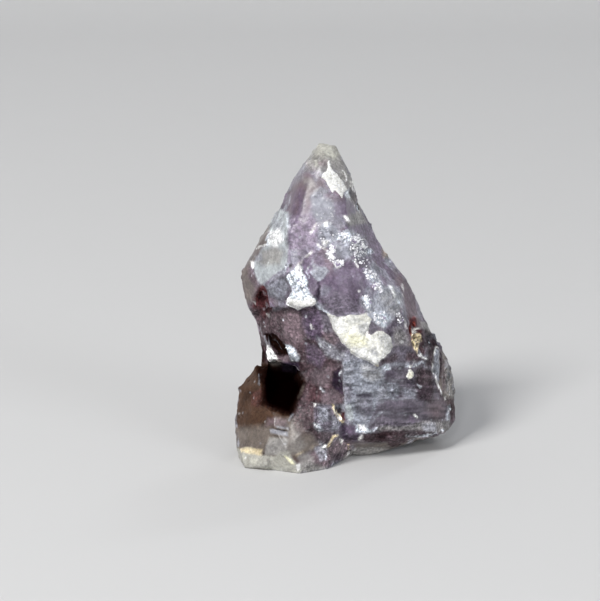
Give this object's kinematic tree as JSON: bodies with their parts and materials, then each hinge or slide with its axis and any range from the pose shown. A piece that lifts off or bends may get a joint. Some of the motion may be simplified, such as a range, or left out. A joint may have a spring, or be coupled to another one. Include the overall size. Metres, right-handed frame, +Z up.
{
  "type": "smoky quartz specimen with prehnite crust",
  "caption": "Free-standing display stone: a broken wedge of translucent lavender-grey smoky quartz with a dark hollow and pale prehnite crusts, resting on its flat broken base.",
  "frame": {"origin": "on the surface that the stone stands on, under the middle of its bounding box", "axes": "+Z up from the base to the tip; -Y the side with the large prehnite patch; +X to the right seen from that side"},
  "size_m": [0.0508, 0.0368, 0.0714],
  "materials": {
    "smoky_quartz": "translucent smoky lavender quartz, glassy where broken, frosted and milky in patches",
    "prehnite": "opaque, cream-white to pale yellow-green, finely granular"
  },
  "bodies": {
    "root": {"smoky_quartz": "smoky_quartz"}
  },
  "joints": []
}
